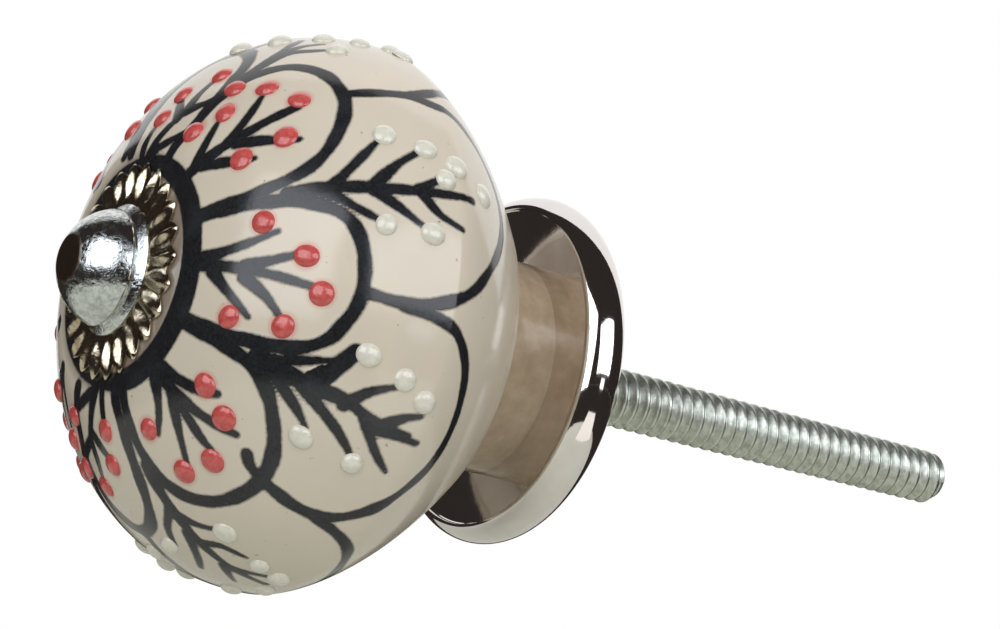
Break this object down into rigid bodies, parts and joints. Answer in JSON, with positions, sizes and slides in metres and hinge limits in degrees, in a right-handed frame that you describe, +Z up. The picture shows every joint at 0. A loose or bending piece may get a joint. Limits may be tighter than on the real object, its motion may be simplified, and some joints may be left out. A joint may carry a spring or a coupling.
{
  "type": "cabinet knob",
  "caption": "Round painted ceramic cabinet knob with raised glaze dots, fluted metal rosette, cone head and round base plate on a threaded mounting bolt.",
  "frame": {"origin": "on the knob's axis, in the plane of the base plate's back, which meets the drawer front", "axes": "+Y along the knob's axis towards the bolt's tip, so the knob's front points to -Y; +Z up; X across"},
  "size_m": [0.04, 0.08, 0.04],
  "materials": {
    "glazed_ceramic": "ivory glaze with painted black petals, raised red and white dots",
    "nickel_plate": "stamped nickel plate, slightly darkened in the flutes",
    "zinc_plate": "bright zinc plate, rough in places",
    "polished_nickel": "polished nickel plate",
    "zinc_nut": "bright zinc plate"
  },
  "bodies": {
    "root": {"ceramic_body": "glazed_ceramic", "rosette_washer": "nickel_plate", "cap_bolt": "zinc_plate", "base_plate": "polished_nickel", "retaining_nut": "zinc_nut"}
  },
  "joints": []
}
